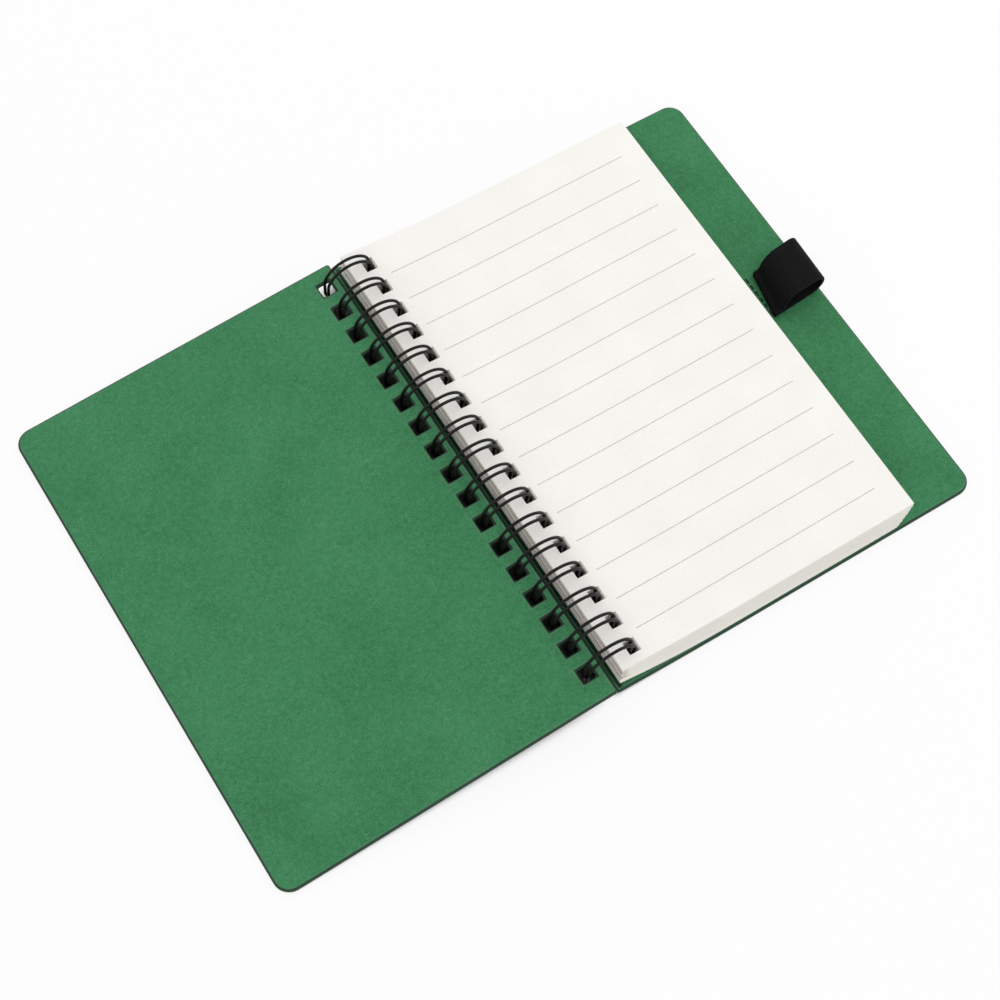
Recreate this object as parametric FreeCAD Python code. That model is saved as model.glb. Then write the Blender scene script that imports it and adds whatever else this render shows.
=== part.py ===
"""Twin-loop bound memo pad, lying open with its front cover turned back.

Frame: +X runs from the binding to the fore edge of the pages, +Y runs up the page and
+Z is up. The origin is on the table, under the middle of the open pad. The pieces are
drawn with the middle of the binding at x = 0 and moved by BINDING_X as they are written.
Each offset is how far a piece's middle lies up the page from the middle of the binding.
All lengths are millimetres and all angles are degrees.
"""
import FreeCAD, Part
import math
import os

from FreeCAD import Rotation, Vector

# ---- covers ----------------------------------------------------------------------
COVER_HEIGHT = 150.9
FRONT_WIDTH = 101.4
BACK_STRIP = 22.6
COVER_THICKNESS = 2.0
COVER_CORNER = 4.7
FRONT_OFFSET = -0.85
BACK_OFFSET = 0.55

# ---- pages -----------------------------------------------------------------------
PAGE_MARGIN = 2.35
PAGE_WIDTH = 96.85
PAGE_OFFSET = -0.5
STACK_THICKNESS = 8.7
SPINE_SLANT = 0.6
FORE_EDGE_SLANT = 4.5
END_SLANT = 1.4
SEAM_GAP = 2.1
SEAM_GAP_RUN = 30.0

# ---- punching --------------------------------------------------------------------
PITCH = 25.4 / 3.0
END_MARGIN = 4.0
HOLE_SIDE = 4.0
FRONT_HOLE_SETBACK = 4.4
BACK_HOLE_SETBACK = 6.2
PAGE_HOLE_SETBACK = 6.2
PAGE_HOLE_HANG = 0.35
PAGE_HOLE_OFFSET = -0.25

# ---- binding wire ----------------------------------------------------------------
WIRE_DIAMETER = 0.9
RING_RADIUS = 7.3
RING_SIDE = 3.5
STRAND_SPACING = 2.1
SEAM_ANGLE = 28.0
TIP_GAP = 0.35
WIRE_STUB = 0.8

# ---- how the pad lies ------------------------------------------------------------
BINDING_X = -9.7
SPINE_LIFT = 2.1
LIFT_RUN = 45.0
PAGE_REST_GAP = 0.1
OPEN_HOLE_HEIGHT = 9.5
OPEN_HOLE_INSET = 0.1
CLOSED_HOLE_INSET = 1.35
CLOSED_DROOP = 1.1
CLOSED_GAP = 0.25

# ---- pen loop --------------------------------------------------------------------
TAPE_THICKNESS = 1.0
TAPE_WIDTH = 16.0
LOOP_LENGTH = 17.6
LOOP_HEIGHT = 8.3
LOOP_SKEW = 10.0
LOOP_CENTRE_Y = 6.2
LOOP_GAP = 6.75
SEWN_LAND = 1.7
SHOULDER_RADIUS = 4.0
THREAD_WIDTH = 0.6
STITCHES = 6
STITCH_STEP = 2.4
STITCH_LENGTH = 1.5
STITCH_GAP = 5.15

# ---- worked out ------------------------------------------------------------------
PAGE_HEIGHT = COVER_HEIGHT - 2.0 * PAGE_MARGIN
LOOPS = int((PAGE_HEIGHT - 2.0 * END_MARGIN) / PITCH) + 1
LOWER_AXIS = RING_RADIUS + WIRE_DIAMETER / 2.0
UPPER_AXIS = LOWER_AXIS + RING_SIDE
HOLE_ROUNDS = 20
SAME_PLACE = 1e-3
FIRST_LOOP_Y = PITCH * (LOOPS - 1) / 2.0
BOTTOM_OF_PAGES = COVER_THICKNESS + PAGE_REST_GAP
TOP_OF_PAGES = BOTTOM_OF_PAGES + STACK_THICKNESS


def lift(x):
    """Return how far the raised spine holds a sheet off its flat rest at x."""
    return SPINE_LIFT * (max(LIFT_RUN - x, 0.0) / LIFT_RUN) ** 2


def lift_slope(x):
    """Return the slope of lift() at x."""
    return -2.0 * SPINE_LIFT * max(LIFT_RUN - x, 0.0) / LIFT_RUN ** 2


def seam_gap(x):
    """Return how far the lowest pages are pushed up by the seam of the wire at x."""
    return SEAM_GAP * (max(SEAM_GAP_RUN - x, 0.0) / SEAM_GAP_RUN) ** 2


def seam_gap_slope(x):
    """Return the slope of seam_gap() at x."""
    return -2.0 * SEAM_GAP * max(SEAM_GAP_RUN - x, 0.0) / SEAM_GAP_RUN ** 2


def ring_x(z):
    """Return the distance of the wire's centre line from the middle of the ring at z."""
    axis = min(max(z, LOWER_AXIS), UPPER_AXIS)
    return math.sqrt(RING_RADIUS ** 2 - (z - axis) ** 2)


def page_hole_x(z):
    """Return the middle of a page hole at z: the sheets hang from the wire and lean."""
    top = TOP_OF_PAGES + lift(RING_RADIUS)
    share = (top - z) / STACK_THICKNESS
    return ring_x(top) - PAGE_HOLE_HANG - SPINE_SLANT * share


def top_spine_x():
    """Return where the top sheet ends at the binding."""
    return page_hole_x(TOP_OF_PAGES + lift(RING_RADIUS)) - PAGE_HOLE_SETBACK


def fore_edge_x():
    """Return where the top sheet ends on the side away from the binding."""
    return top_spine_x() + PAGE_WIDTH


def loop_positions():
    """Return the height up the page of the middle of each loop, top one first."""
    return [FIRST_LOOP_Y - PITCH * i for i in range(LOOPS)]


def at(x, z, y=0.0):
    """Return a point from its place in the section."""
    return Vector(x, y, z)


def line(a, b):
    """Return the straight edge from a to b."""
    return Part.makeLine(a, b)


def polar(centre, radius, angle):
    """Return the point at radius and angle from centre, in the section through it."""
    turn = math.radians(angle)
    return centre.add(Vector(radius * math.cos(turn), 0, radius * math.sin(turn)))


def arc(centre, radius, start, end):
    """Return the circular edge about centre from one angle to another."""
    middle = (start + end) / 2.0
    points = [polar(centre, radius, angle) for angle in (start, middle, end)]
    return Part.Arc(*points).toShape()


def parabola(start, end, base, height, slope):
    """Return the edge that follows the quadratic height(x) above base, exactly."""
    middle = (start + end) / 2.0
    poles = [
        at(start, base + height(start)),
        at(middle, base + height(start) + slope(start) * (end - start) / 2.0),
        at(end, base + height(end)),
    ]
    curve = Part.BezierCurve()
    curve.setPoles(poles)
    return curve.toShape()


def closed_face(edges):
    """Return the flat face inside a closed run of edges."""
    return Part.Face(Part.Wire(Part.__sortEdges__(edges)))


def extrude_across(face, length, middle=0.0):
    """Return the solid swept by a section through length, with its middle at middle."""
    solid = face.extrude(Vector(0, length, 0))
    solid.translate(Vector(0, middle - length / 2.0, 0))
    return solid


def punched(solid, hole):
    """Return solid with one copy of hole cut out at each loop."""
    tools = []
    for y in loop_positions():
        tool = hole.copy()
        tool.translate(Vector(0, y, 0))
        tools.append(tool)
    return solid.cut(tools)


# ---- covers ----------------------------------------------------------------------
def rounded_outer_corners(solid, outer_x):
    """Round the two upright edges of a cover that lie at outer_x."""
    def is_corner(edge):
        ends = [v.Point for v in edge.Vertexes]
        upright = abs(ends[0].y - ends[-1].y) < SAME_PLACE
        return upright and all(abs(p.x - outer_x) < SAME_PLACE for p in ends)

    return solid.makeFillet(COVER_CORNER, [e for e in solid.Edges if is_corner(e)])


def back_hole_x():
    """Return the middle of the back cover's holes, between the wire's two crossings.

    The wire crosses the lower and the upper face at different x, and both faces rise
    towards the binding, so each round starts from the place that the last one found.
    """
    x = RING_RADIUS
    for _ in range(HOLE_ROUNDS):
        low = ring_x(lift(x))
        high = ring_x(lift(x) + COVER_THICKNESS)
        x = (low + high) / 2.0
    return x


def make_back_cover():
    """Return the back cover, flat on the table and rising towards the binding."""
    spine = back_hole_x() - BACK_HOLE_SETBACK
    outer = fore_edge_x() + BACK_STRIP
    face = closed_face([
        parabola(spine, LIFT_RUN, 0.0, lift, lift_slope),
        line(at(LIFT_RUN, 0.0), at(outer, 0.0)),
        line(at(outer, 0.0), at(outer, COVER_THICKNESS)),
        line(at(outer, COVER_THICKNESS), at(LIFT_RUN, COVER_THICKNESS)),
        parabola(spine, LIFT_RUN, COVER_THICKNESS, lift, lift_slope),
        line(at(spine, lift(spine)), at(spine, lift(spine) + COVER_THICKNESS)),
    ])
    board = extrude_across(face, COVER_HEIGHT, BACK_OFFSET)
    cover = rounded_outer_corners(board, outer)
    hole = Part.makeBox(
        HOLE_SIDE, HOLE_SIDE, TOP_OF_PAGES + SPINE_LIFT,
        Vector(back_hole_x() - HOLE_SIDE / 2.0, -HOLE_SIDE / 2.0, 0.0),
    )
    return punched(cover, hole)


def open_slope():
    """Return the angle at which the open front cover falls from its holes to the table."""
    run = FRONT_WIDTH - FRONT_HOLE_SETBACK
    return math.degrees(math.asin((OPEN_HOLE_HEIGHT - COVER_THICKNESS / 2.0) / run))


def open_hole():
    """Return the middle of the front cover's holes with the cover open."""
    return at(-RING_RADIUS + OPEN_HOLE_INSET, OPEN_HOLE_HEIGHT)


def closed_hole():
    """Return the middle of the front cover's holes with the cover shut on the pages."""
    spine = RING_RADIUS - CLOSED_HOLE_INSET - FRONT_HOLE_SETBACK
    rise = FRONT_HOLE_SETBACK * math.sin(math.radians(CLOSED_DROOP))
    underside = TOP_OF_PAGES + lift(spine) + CLOSED_GAP - rise
    return at(spine + FRONT_HOLE_SETBACK, underside + COVER_THICKNESS / 2.0)


def front_travel():
    """Return how far the front cover turns from open to shut."""
    return 180.0 + open_slope() + CLOSED_DROOP


def front_hinge():
    """Return the point about which the open holes turn to the shut ones."""
    a = open_hole()
    b = closed_hole()
    chord = b.sub(a)
    middle = a.add(b).multiply(0.5)
    rise = 0.5 / math.tan(math.radians(front_travel() / 2.0))
    return middle.add(Vector(chord.z, 0, -chord.x).multiply(rise))


def make_front_cover():
    """Return the front cover, open and leaning from the binding down to the table."""
    outer = FRONT_HOLE_SETBACK - FRONT_WIDTH
    near_end = FRONT_OFFSET - COVER_HEIGHT / 2.0
    cover = Part.makeBox(
        FRONT_WIDTH, COVER_HEIGHT, COVER_THICKNESS,
        Vector(outer, near_end, -COVER_THICKNESS / 2.0),
    )
    cover = rounded_outer_corners(cover, outer)
    hole = Part.makeBox(
        HOLE_SIDE, HOLE_SIDE, 3.0 * COVER_THICKNESS,
        Vector(-HOLE_SIDE / 2.0, -HOLE_SIDE / 2.0, -1.5 * COVER_THICKNESS),
    )
    cover = punched(cover, hole)
    cover.rotate(Vector(0, 0, 0), Vector(0, 1, 0), -open_slope())
    cover.translate(open_hole())
    return cover


# ---- pages -----------------------------------------------------------------------
def leaning_ends():
    """Return the space between the near and far ends of the pages, which lean together."""
    high_z = TOP_OF_PAGES + 2.0 * SPINE_LIFT
    lean = END_SLANT / STACK_THICKNESS
    corners = []
    for z, ends in ((0.0, (-1.0, 1.0)), (high_z, (1.0, -1.0))):
        middle = PAGE_OFFSET + lean * (z - BOTTOM_OF_PAGES - STACK_THICKNESS / 2.0)
        corners += [at(-RING_RADIUS, z, middle + end * PAGE_HEIGHT / 2.0) for end in ends]
    outline = closed_face([line(a, b) for a, b in zip(corners, corners[1:] + corners[:1])])
    return outline.extrude(Vector(2.0 * PAGE_WIDTH, 0, 0))


def make_page_block():
    """Return the pages as one block with leaning ends and a fanned fore edge."""
    top_spine = top_spine_x()
    low_spine = top_spine - SPINE_SLANT
    top_fore = fore_edge_x()
    low_fore = top_fore - FORE_EDGE_SLANT

    def under(x):
        return lift(x) + seam_gap(x)

    def under_slope(x):
        return lift_slope(x) + seam_gap_slope(x)

    fan = Part.BezierCurve()
    fan.setPoles([
        at(top_fore, TOP_OF_PAGES),
        at(top_fore - FORE_EDGE_SLANT / 4.0, BOTTOM_OF_PAGES + STACK_THICKNESS * 0.4),
        at(low_fore, BOTTOM_OF_PAGES),
    ])
    face = closed_face([
        parabola(top_spine, LIFT_RUN, TOP_OF_PAGES, lift, lift_slope),
        line(at(LIFT_RUN, TOP_OF_PAGES), at(top_fore, TOP_OF_PAGES)),
        fan.toShape(),
        line(at(low_fore, BOTTOM_OF_PAGES), at(LIFT_RUN, BOTTOM_OF_PAGES)),
        parabola(SEAM_GAP_RUN, LIFT_RUN, BOTTOM_OF_PAGES, lift, lift_slope),
        parabola(low_spine, SEAM_GAP_RUN, BOTTOM_OF_PAGES, under, under_slope),
        line(
            at(low_spine, BOTTOM_OF_PAGES + under(low_spine)),
            at(top_spine, TOP_OF_PAGES + lift(top_spine)),
        ),
    ])
    block = extrude_across(face, COVER_HEIGHT).common(leaning_ends())

    low_z = COVER_THICKNESS
    high_z = TOP_OF_PAGES + 2.0 * SPINE_LIFT
    half = HOLE_SIDE / 2.0
    corners = [
        at(page_hole_x(low_z) - half, low_z),
        at(page_hole_x(low_z) + half, low_z),
        at(page_hole_x(high_z) + half, high_z),
        at(page_hole_x(high_z) - half, high_z),
    ]
    outline = closed_face([line(a, b) for a, b in zip(corners, corners[1:] + corners[:1])])
    return punched(block, extrude_across(outline, HOLE_SIDE, PAGE_HOLE_OFFSET))


# ---- binding wire ----------------------------------------------------------------
def ring_point(angle, y):
    """Return the point of the ring's lower arc at angle, at y along the binding."""
    return polar(at(0.0, LOWER_AXIS, y), RING_RADIUS, angle)


def tangent(angle):
    """Return the direction of decreasing angle along the ring at angle."""
    return polar(Vector(0, 0, 0), 1.0, angle - 90.0)


def strand(y, root_angle, tip_angle):
    """Return the edges of one strand, from the seam's root under and over to the tip."""
    lower = at(0.0, LOWER_AXIS, y)
    upper = at(0.0, UPPER_AXIS, y)
    left = Vector(-RING_RADIUS, 0, 0)
    right = Vector(RING_RADIUS, 0, 0)
    return [
        arc(lower, RING_RADIUS, root_angle, -180.0),
        line(lower.add(left), upper.add(left)),
        arc(upper, RING_RADIUS, 180.0, 0.0),
        line(upper.add(right), lower.add(right)),
        arc(lower, RING_RADIUS, 0.0, tip_angle),
    ]


def bend(start, corner, end):
    """Return the quarter circle from start to end that turns where corner would be."""
    centre = start.add(end).sub(corner)
    radius = start.distanceToPoint(centre)
    middle = centre.add(corner.sub(centre).normalize().multiply(radius))
    return Part.Arc(start, middle, end).toShape()


def twin_loop(y, root_angle, tip_angle):
    """Return the edges of one double loop: up one strand, round its tip and back."""
    half = STRAND_SPACING / 2.0
    tip = ring_point(tip_angle, y).add(tangent(tip_angle).multiply(half))
    hairpin = Part.Arc(
        ring_point(tip_angle, y + half), tip, ring_point(tip_angle, y - half)
    )
    there = strand(y + half, root_angle, tip_angle)
    back = strand(y - half, root_angle, tip_angle)
    return there + [hairpin.toShape()] + back[::-1]


def seam_bend(y, side, root_angle):
    """Return the bend from the strand at y into the seam, and the point where it ends."""
    radius = STRAND_SPACING / 2.0
    start = ring_point(root_angle, y)
    corner = start.sub(tangent(root_angle).multiply(radius))
    end = corner.add(Vector(0, side * radius, 0))
    return bend(start, corner, end), end


def make_wire_binding():
    """Return the whole twin-loop binding as one wire, with its seam under the pages."""
    half = STRAND_SPACING / 2.0
    root_angle = -SEAM_ANGLE - math.degrees(half / RING_RADIUS)
    tip_reach = half + WIRE_DIAMETER + TIP_GAP
    tip_angle = -SEAM_ANGLE + math.degrees(tip_reach / RING_RADIUS)
    stub = Vector(0, WIRE_STUB, 0)
    path = []
    reached = None
    for y in loop_positions():
        bend_in, seam_end = seam_bend(y + half, 1.0, root_angle)
        bend_out, seam_start = seam_bend(y - half, -1.0, root_angle)
        path.append(line(reached or seam_end.add(stub), seam_end))
        path.append(bend_in)
        path += twin_loop(y, root_angle, tip_angle)
        path.append(bend_out)
        reached = seam_start
    path.append(line(reached, reached.sub(stub)))
    first = path[0].Vertexes[0].Point
    section = Part.Wire(Part.makeCircle(WIRE_DIAMETER / 2.0, first, Vector(0, 1, 0)))
    return Part.Wire(path).makePipeShell([section], True, False)


# ---- pen loop --------------------------------------------------------------------
def loop_outline(inset):
    """Return the edges of the tape's outer face, or of its inner face at an inset."""
    pinch_radius = LOOP_HEIGHT - SHOULDER_RADIUS - 2.0 * TAPE_THICKNESS
    shoulder_z = LOOP_HEIGHT - SHOULDER_RADIUS
    pinch = at(SEWN_LAND, shoulder_z)
    shoulder = at(SEWN_LAND + pinch_radius + SHOULDER_RADIUS, shoulder_z)
    fold = at(LOOP_LENGTH - LOOP_HEIGHT / 2.0, LOOP_HEIGHT / 2.0)
    top = LOOP_HEIGHT - inset
    return [
        line(at(SEWN_LAND, inset), at(fold.x, inset)),
        arc(fold, LOOP_HEIGHT / 2.0 - inset, -90.0, 90.0),
        line(at(fold.x, top), at(shoulder.x, top)),
        arc(shoulder, SHOULDER_RADIUS - inset, 90.0, 180.0),
        arc(pinch, pinch_radius + inset, 0.0, -90.0),
    ]


def make_pen_loop():
    """Return the elastic tape, folded into a tube and pinched flat at its sewn end."""
    double = 2.0 * TAPE_THICKNESS
    sewn_end = [
        line(at(SEWN_LAND, double), at(0.0, double)),
        line(at(0.0, double), at(0.0, 0.0)),
        line(at(0.0, 0.0), at(SEWN_LAND, 0.0)),
    ]
    tape = extrude_across(closed_face(loop_outline(0.0) + sewn_end), TAPE_WIDTH)
    space = extrude_across(closed_face(loop_outline(TAPE_THICKNESS)), 2.0 * TAPE_WIDTH)
    tape = tape.cut(space)
    tape.rotate(Vector(0, 0, 0), Vector(0, 0, 1), -LOOP_SKEW)
    tape.translate(at(fore_edge_x() + LOOP_GAP, COVER_THICKNESS, LOOP_CENTRE_Y))
    return tape


def make_pen_loop_thread():
    """Return the row of half-round stitches beside the sewn end of the tape."""
    radius = THREAD_WIDTH / 2.0
    x = fore_edge_x() + STITCH_GAP
    first = LOOP_CENTRE_Y - (STITCHES - 1) * STITCH_STEP / 2.0 - STITCH_LENGTH / 2.0
    stitches = []
    for i in range(STITCHES):
        start = at(x, COVER_THICKNESS, first + i * STITCH_STEP)
        stitch = Part.makeCylinder(radius, STITCH_LENGTH, start, Vector(0, 1, 0), 180.0)
        stitch.rotate(start, Vector(0, 1, 0), -90.0)
        stitches.append(stitch)
    return Part.makeCompound(stitches)


def main():
    """Write one STEP file for each piece of the memo pad."""
    pieces = {
        "page_block": make_page_block(),
        "wire_binding": make_wire_binding(),
        "front_cover": make_front_cover(),
        "back_cover": make_back_cover(),
        "pen_loop": make_pen_loop(),
        "pen_loop_thread": make_pen_loop_thread(),
    }
    os.makedirs("parts", exist_ok=True)
    for name, shape in pieces.items():
        shape.translate(Vector(BINDING_X, 0, 0))
        shape.exportStep(os.path.join("parts", name + ".step"))


main()
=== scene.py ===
"""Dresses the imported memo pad: board covers, ruled pages, black wire and elastic pen loop.

Everything is in metres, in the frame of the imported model: +X from the binding to the fore
edge of the pages, +Y up the page, +Z up, with the table at z = 0.
"""

import logging
import math
import random
from collections.abc import Callable, Iterator
from contextlib import contextmanager
from dataclasses import dataclass, field
from enum import Enum

import bmesh
import bpy
from mathutils import Euler, Matrix, Vector

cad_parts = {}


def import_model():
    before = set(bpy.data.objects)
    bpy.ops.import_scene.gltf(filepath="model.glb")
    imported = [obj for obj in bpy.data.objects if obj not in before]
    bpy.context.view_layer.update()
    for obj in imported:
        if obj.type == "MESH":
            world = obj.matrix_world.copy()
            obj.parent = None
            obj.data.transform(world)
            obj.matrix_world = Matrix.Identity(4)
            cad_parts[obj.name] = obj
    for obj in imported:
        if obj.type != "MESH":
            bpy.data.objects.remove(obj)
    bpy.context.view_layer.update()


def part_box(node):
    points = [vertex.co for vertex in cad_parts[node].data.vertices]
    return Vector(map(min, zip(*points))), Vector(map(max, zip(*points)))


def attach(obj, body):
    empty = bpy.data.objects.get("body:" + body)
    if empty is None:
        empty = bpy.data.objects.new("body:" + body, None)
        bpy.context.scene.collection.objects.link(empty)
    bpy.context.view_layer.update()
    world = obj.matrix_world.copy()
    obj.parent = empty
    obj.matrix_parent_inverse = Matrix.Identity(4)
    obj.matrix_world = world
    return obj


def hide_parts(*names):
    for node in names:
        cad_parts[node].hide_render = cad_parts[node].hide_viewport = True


log = logging.getLogger("memo_pad")

MM = 0.001
TOUCH = 0.001 * MM
UP = Vector((0.0, 0.0, 1.0))
ACROSS = Vector((1.0, 0.0, 0.0))
ALONG = Vector((0.0, 1.0, 0.0))
WHITE = (1.0, 1.0, 1.0, 1.0)
FACES_UP = 0.7

Colour = tuple[int, int, int]
Socket = bpy.types.NodeSocket
Tone = Colour | Socket
Test = Callable[[Vector, Vector], bool]
Rule = Callable[[Vector], Vector]


class Body(Enum):
    """The parts of the pad that move as one."""

    PAGES = "pages"
    FRONT = "front"
    BACK = "back"


class Slot(Enum):
    """Names for the finishes of the pieces."""

    PAPER = "page_paper"
    BOARD = "green_board"
    WIRE = "black_wire"
    ELASTIC = "black_elastic"
    THREAD = "dark_thread"


class Node(Enum):
    """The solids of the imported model."""

    PAGES = "page_block"
    WIRE = "wire_binding"
    FRONT = "front_cover"
    BACK = "back_cover"
    LOOP = "pen_loop"
    THREAD = "pen_loop_thread"


class Pick(Enum):
    """What a tool takes hold of."""

    CORNERS = "VERT"
    EDGES = "EDGE"
    FACES = "FACE"


# ---- shader maths ------------------------------------------------------------------
def linear(colour: Colour) -> tuple[float, float, float, float]:
    """Turn a colour as seen, 0 to 255, into the linear one that a shader takes.

    Args:
        colour: Red, green and blue as seen.

    Returns:
        Linear red, green, blue and a full alpha.
    """
    seen = [part / 255.0 for part in colour]
    parts = [s / 12.92 if s <= 0.04045 else ((s + 0.055) / 1.055) ** 2.4 for s in seen]
    return parts[0], parts[1], parts[2], 1.0


def operator(operation: str, reflected: bool = False) -> Callable[..., "Signal"]:
    """Make a method that adds one Math node to a signal's recipe.

    Args:
        operation: What the node does.
        reflected: True where the signal stands on the right of the sign.

    Returns:
        The method, which gives the node's result.
    """
    def method(self: "Signal", *others: "Signal | float") -> "Signal":
        """Return the result of the operation."""
        values = (*others, self) if reflected else (self, *others)
        return self.recipe.math(operation, *values)

    return method


@dataclass(frozen=True)
class Signal:
    """A number that changes over a surface. Arithmetic on it adds Math nodes."""

    recipe: "Recipe"
    socket: Socket

    __add__ = operator("ADD")
    __radd__ = operator("ADD", reflected=True)
    __sub__ = operator("SUBTRACT")
    __rsub__ = operator("SUBTRACT", reflected=True)
    __mul__ = operator("MULTIPLY")
    __rmul__ = operator("MULTIPLY", reflected=True)
    __truediv__ = operator("DIVIDE")
    __rtruediv__ = operator("DIVIDE", reflected=True)
    __abs__ = operator("ABSOLUTE")
    __lt__ = operator("LESS_THAN")
    __gt__ = operator("GREATER_THAN")
    sine = operator("SINE")
    fraction = operator("FRACT")
    larger = operator("MAXIMUM")

    def ramp(self, low: float, high: float) -> "Signal":
        """Spread the signal over 0 to 1 and hold it there.

        Args:
            low: The value that becomes 0.
            high: The value that becomes 1.

        Returns:
            0 below low, 1 above high and an even rise between them.
        """
        made = self.recipe.node(
            "MapRange", {"clamp": True},
            {"Value": self, "From Min": low, "From Max": high, "To Min": 0.0, "To Max": 1.0},
        )
        return Signal(self.recipe, made.outputs["Result"])


class Recipe:
    """The node tree of one finish, with the few nodes that the finishes are made of."""

    def __init__(self, owner: bpy.types.Material | bpy.types.World) -> None:
        """Empty the node tree that the recipe fills.

        Args:
            owner: A new material or world.
        """
        owner.use_nodes = True
        self.owner = owner
        self.tree = owner.node_tree
        self.tree.nodes.clear()

    def node(
        self, kind: str, settings: dict | None = None, inputs: dict | None = None
    ) -> bpy.types.Node:
        """Add a node.

        Args:
            kind: The node's type, without the leading "ShaderNode".
            settings: Its own settings, such as an operation, set before its sockets.
            inputs: Values, signals or sockets for its inputs, by name or number.

        Returns:
            The new node.
        """
        made = self.tree.nodes.new("ShaderNode" + kind)
        for key, value in (settings or {}).items():
            setattr(made, key, value)
        for key, value in (inputs or {}).items():
            self.feed(made.inputs[key], value)
        return made

    def feed(self, socket: Socket, value: object) -> None:
        """Link something to an input, or set the input to a plain value.

        Args:
            socket: The input.
            value: A signal, another node's socket or a value.
        """
        if isinstance(value, Signal):
            value = value.socket
        if isinstance(value, Socket):
            self.tree.links.new(value, socket)
        else:
            socket.default_value = value

    def math(self, operation: str, *values: Signal | float) -> Signal:
        """Add a Math node on signals and numbers, and return its result."""
        made = self.node("Math", {"operation": operation}, dict(enumerate(values)))
        return Signal(self, made.outputs[0])

    def place(self) -> Socket:
        """Return the place in the pad's own frame, in metres."""
        return self.node("TexCoord").outputs["Object"]

    def axes(self, vector: Socket) -> list[Signal]:
        """Return the three parts of a vector."""
        return [Signal(self, part) for part in self.node("SeparateXYZ", inputs={0: vector}).outputs]

    def rise(self) -> Signal:
        """Return how far the surface faces up in the pad's own frame, from -1 to 1."""
        return self.axes(self.node("TexCoord").outputs["Normal"])[2]

    def attribute(self, name: str) -> Signal:
        """Return a number kept on the piece's own mesh."""
        made = self.node("Attribute", {"attribute_type": "GEOMETRY", "attribute_name": name})
        return Signal(self, made.outputs["Fac"])

    def turned(
        self, place: Socket, turn: float, grain: tuple[float, float, float]
    ) -> Socket:
        """Return place turned about the upright and divided by a grain's three sizes.

        Args:
            place: Where the surface is.
            turn: The angle of the grain, in degrees.
            grain: The length of one mark along each axis, in metres.

        Returns:
            Coordinates in which one mark is one unit long.
        """
        turned = self.node(
            "Mapping", {"vector_type": "POINT"},
            {"Vector": place, "Rotation": Euler((0.0, 0.0, math.radians(turn)))},
        )
        scaled = self.node(
            "Mapping", {"vector_type": "POINT"},
            {"Vector": turned.outputs[0], "Scale": Vector([1.0 / size for size in grain])},
        )
        return scaled.outputs[0]

    def noise(
        self, place: Socket, grain: float, detail: float = 2.0, rough: float = 0.5
    ) -> Signal:
        """Make soft random marks.

        Args:
            place: Where the surface is.
            grain: The size of a mark.
            detail: How many finer sets of marks it has.
            rough: How strong the finer ones are.

        Returns:
            A signal near 0.5 on average.
        """
        made = self.node(
            "TexNoise", {"noise_dimensions": "3D"},
            {"Vector": place, "Scale": 1.0 / grain, "Detail": detail, "Roughness": rough},
        )
        return Signal(self, made.outputs[0])

    def stirred(self, place: Socket, grain: float, reach: float) -> Socket:
        """Push place about at random, so that what is drawn on it bends.

        Args:
            place: Where the surface is.
            grain: The size of one bend.
            reach: How far it is pushed.

        Returns:
            The place after it.
        """
        swirl = self.node(
            "TexNoise", {"noise_dimensions": "3D"},
            {"Vector": place, "Scale": 1.0 / grain, "Detail": 1.0},
        )
        centred = self.node(
            "VectorMath", {"operation": "SUBTRACT"}, {0: swirl.outputs["Color"], 1: (0.5, 0.5, 0.5)}
        )
        scaled = self.node(
            "VectorMath", {"operation": "SCALE"}, {0: centred.outputs[0], "Scale": reach}
        )
        return self.node("VectorMath", {"operation": "ADD"}, {0: place, 1: scaled.outputs[0]}).outputs[0]

    def blend(self, share: Signal | float, first: Tone, second: Tone) -> Socket:
        """Mix two colours.

        Args:
            share: 0 for the first colour and 1 for the second.
            first: A colour as seen, or a mixed one.
            second: The other colour.

        Returns:
            The mixed colour.
        """
        ends = [linear(end) if isinstance(end, tuple) else end for end in (first, second)]
        sockets = {0: share, 6: ends[0], 7: ends[1]}
        return self.node("Mix", {"data_type": "RGBA", "blend_type": "MIX"}, sockets).outputs[2]

    def looked_at(self) -> Signal:
        """Tell what is looked at from what only sends out light.

        Returns:
            1 for what the eye sees, straight or in a reflection, and 0 elsewhere.
        """
        rays = self.node("LightPath").outputs
        kinds = [Signal(self, rays[f"Is {kind} Ray"]) for kind in ("Camera", "Glossy", "Transmission")]
        return kinds[0].larger(kinds[1]).larger(kinds[2])

    def bump(self, height: Signal, depth: float, strength: float = 1.0) -> Socket:
        """Return the normal of a surface raised by height times depth, in metres."""
        made = self.node("Bump", inputs={"Strength": strength, "Distance": depth, "Height": height})
        return made.outputs[0]

    def surface(self, **inputs: object) -> bpy.types.Material:
        """Close the recipe with its surface.

        Args:
            inputs: The surface's sockets, with "_" for a space in a name.

        Returns:
            The finished material.
        """
        named = {key.replace("_", " "): value for key, value in inputs.items()}
        return self.close("OutputMaterial", self.node("BsdfPrincipled", inputs=named))

    def close(self, kind: str, last: bpy.types.Node) -> bpy.types.Material | bpy.types.World:
        """Link the last node to the output of its kind, and return what the recipe is for."""
        self.node(kind, inputs={"Surface": last.outputs[0]})
        return self.owner


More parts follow.
